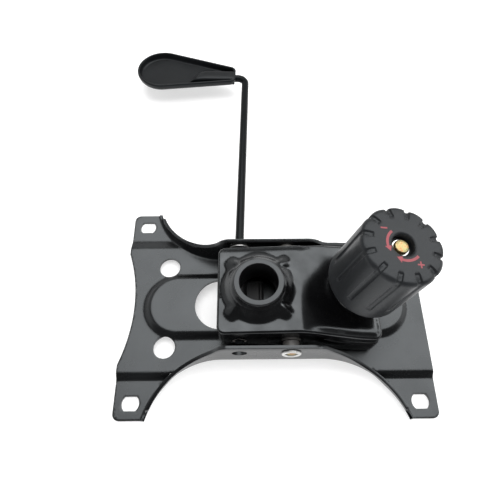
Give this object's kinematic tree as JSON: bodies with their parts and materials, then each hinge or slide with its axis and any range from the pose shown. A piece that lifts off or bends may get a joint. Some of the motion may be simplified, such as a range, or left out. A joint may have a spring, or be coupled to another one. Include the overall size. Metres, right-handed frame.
{
  "type": "office chair tilt mechanism",
  "caption": "Swivel-tilt chair mechanism: pressed seat plate hinged to a gas lift housing, with sprung tilt, hollow tension knob and a paddle lever for height and tilt lock.",
  "frame": {"origin": "centre of the four seat slots, on the face that bolts to the underside of the seat", "axes": "+X to the front of the chair, +Y to the lever side, +Z away from the seat; the mechanism lies seat side down"},
  "size_m": [0.2514, 0.3654, 0.1161],
  "materials": {
    "seat_paint": "satin black paint",
    "housing_paint": "gloss black paint",
    "hub_paint": "thin black paint over turned steel",
    "zinc": "bright zinc plate",
    "yellow_zinc": "yellow zinc plate",
    "spring_steel": "oiled dark spring steel",
    "nylon": "dark oil-filled nylon",
    "knob_plastic": "fine matte black moulding",
    "handle_plastic": "fine matte black moulding",
    "rod_paint": "semi-gloss black paint",
    "rubber": "black rubber"
  },
  "bodies": {
    "base": {"housing": "housing_paint", "hub_tube": "hub_paint", "hub_brace": "seat_paint", "pivot_bush_right": "nylon", "pivot_bush_left": "nylon", "rod_bush_right": "nylon", "rod_bush_left": "nylon", "spring_cup": "zinc", "tension_spring": "spring_steel"},
    "seat": {"seat_plate": "seat_paint", "stop_pad_right": "rubber", "stop_pad_left": "rubber", "pivot_shaft": "zinc", "pivot_spacer_right": "nylon", "pivot_spacer_left": "nylon"},
    "bolt": {"tension_bolt": "yellow_zinc", "bolt_end_washer": "zinc"},
    "thrust": {"thrust_washer": "zinc"},
    "knob": {"knob": "knob_plastic", "knob_nut": "yellow_zinc"},
    "tongue": {"valve_tongue": "spring_steel"},
    "lever": {"lever_rod": "rod_paint", "lever_handle": "handle_plastic", "lever_washer": "zinc"}
  },
  "joints": [
    {"name": "seat_tilt", "type": "hinge", "parent": "base", "child": "seat", "pos_m": [0.0113, 0, 0.0277], "axis": [0, 1, 0], "range_deg": [0, 12], "stiffness_Nm_per_rad": 112, "springref_deg": -8.94, "deforming": ["tension_spring"]},
    {"name": "bolt_draw", "type": "slide", "parent": "base", "child": "bolt", "axis": [-0.1908, 0, -0.9816], "range_m": [0, 0.0094], "deforming": ["tension_spring"]},
    {"name": "knob_advance", "type": "slide", "parent": "bolt", "child": "thrust", "axis": [-0.1908, 0, -0.9816], "range_m": [0, 0.0051], "deforming": ["tension_spring"]},
    {"name": "knob_turn", "type": "hinge", "parent": "thrust", "child": "knob", "pos_m": [0.06974, 0, 0.08499], "axis": [-0.1908, 0, -0.9816], "range_deg": [0, 1440], "deforming": ["tension_spring"]},
    {"name": "lever_lift", "type": "hinge", "parent": "base", "child": "tongue", "pos_m": [-0.0264, 0, 0.026], "axis": [0, -1, 0], "range_deg": [0, 15]},
    {"name": "tilt_lock", "type": "slide", "parent": "tongue", "child": "lever", "axis": [0, -1, 0], "range_m": [0, 0.005]}
  ],
  "couplings": [
    {"joint": "bolt_draw", "follows": "seat_tilt", "m_per_rad": 0.044737},
    {"joint": "knob_advance", "follows": "knob_turn", "m_per_rad": 0.00019894}
  ]
}
